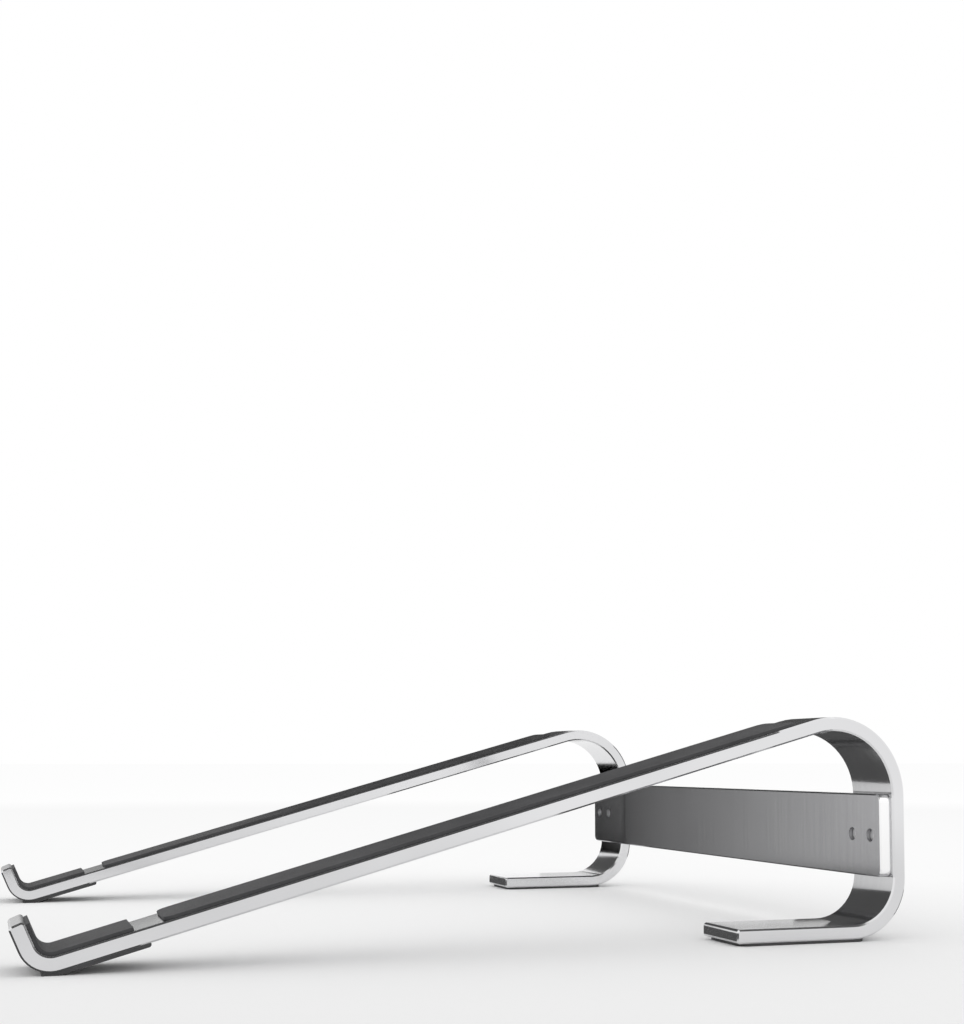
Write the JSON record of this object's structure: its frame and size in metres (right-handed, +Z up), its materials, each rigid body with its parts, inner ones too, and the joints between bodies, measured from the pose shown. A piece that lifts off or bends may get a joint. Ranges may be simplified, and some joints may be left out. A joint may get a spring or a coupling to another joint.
{
  "type": "laptop stand",
  "caption": "Low laptop stand of bent flat metal bars with front hooks, sloping ramps, rounded rear risers and flat feet, joined by a screwed rear cross plate, on rubber soles.",
  "frame": {"origin": "on the desk, at the middle of the stand's width and depth", "axes": "+X to the user's right, +Y away from the user towards the risers, +Z up"},
  "size_m": [0.23, 0.2597, 0.0673],
  "materials": {
    "rail_aluminium": "fine satin anodised, eased edges",
    "plate_aluminium": "brushed, satin anodised",
    "screw_steel": "zinc plated, satin",
    "lining_rubber": "matte silicone rubber",
    "sole_rubber": "matte rubber"
  },
  "bodies": {
    "root": {"left_rail": "rail_aluminium", "right_rail": "rail_aluminium", "cross_plate": "plate_aluminium", "screw_left_outer": "screw_steel", "screw_left_inner": "screw_steel", "screw_right_inner": "screw_steel", "screw_right_outer": "screw_steel", "hook_lining_left": "lining_rubber", "ramp_strip_left": "lining_rubber", "front_sole_left": "sole_rubber", "foot_sole_left": "sole_rubber", "hook_lining_right": "lining_rubber", "ramp_strip_right": "lining_rubber", "front_sole_right": "sole_rubber", "foot_sole_right": "sole_rubber"}
  },
  "joints": []
}
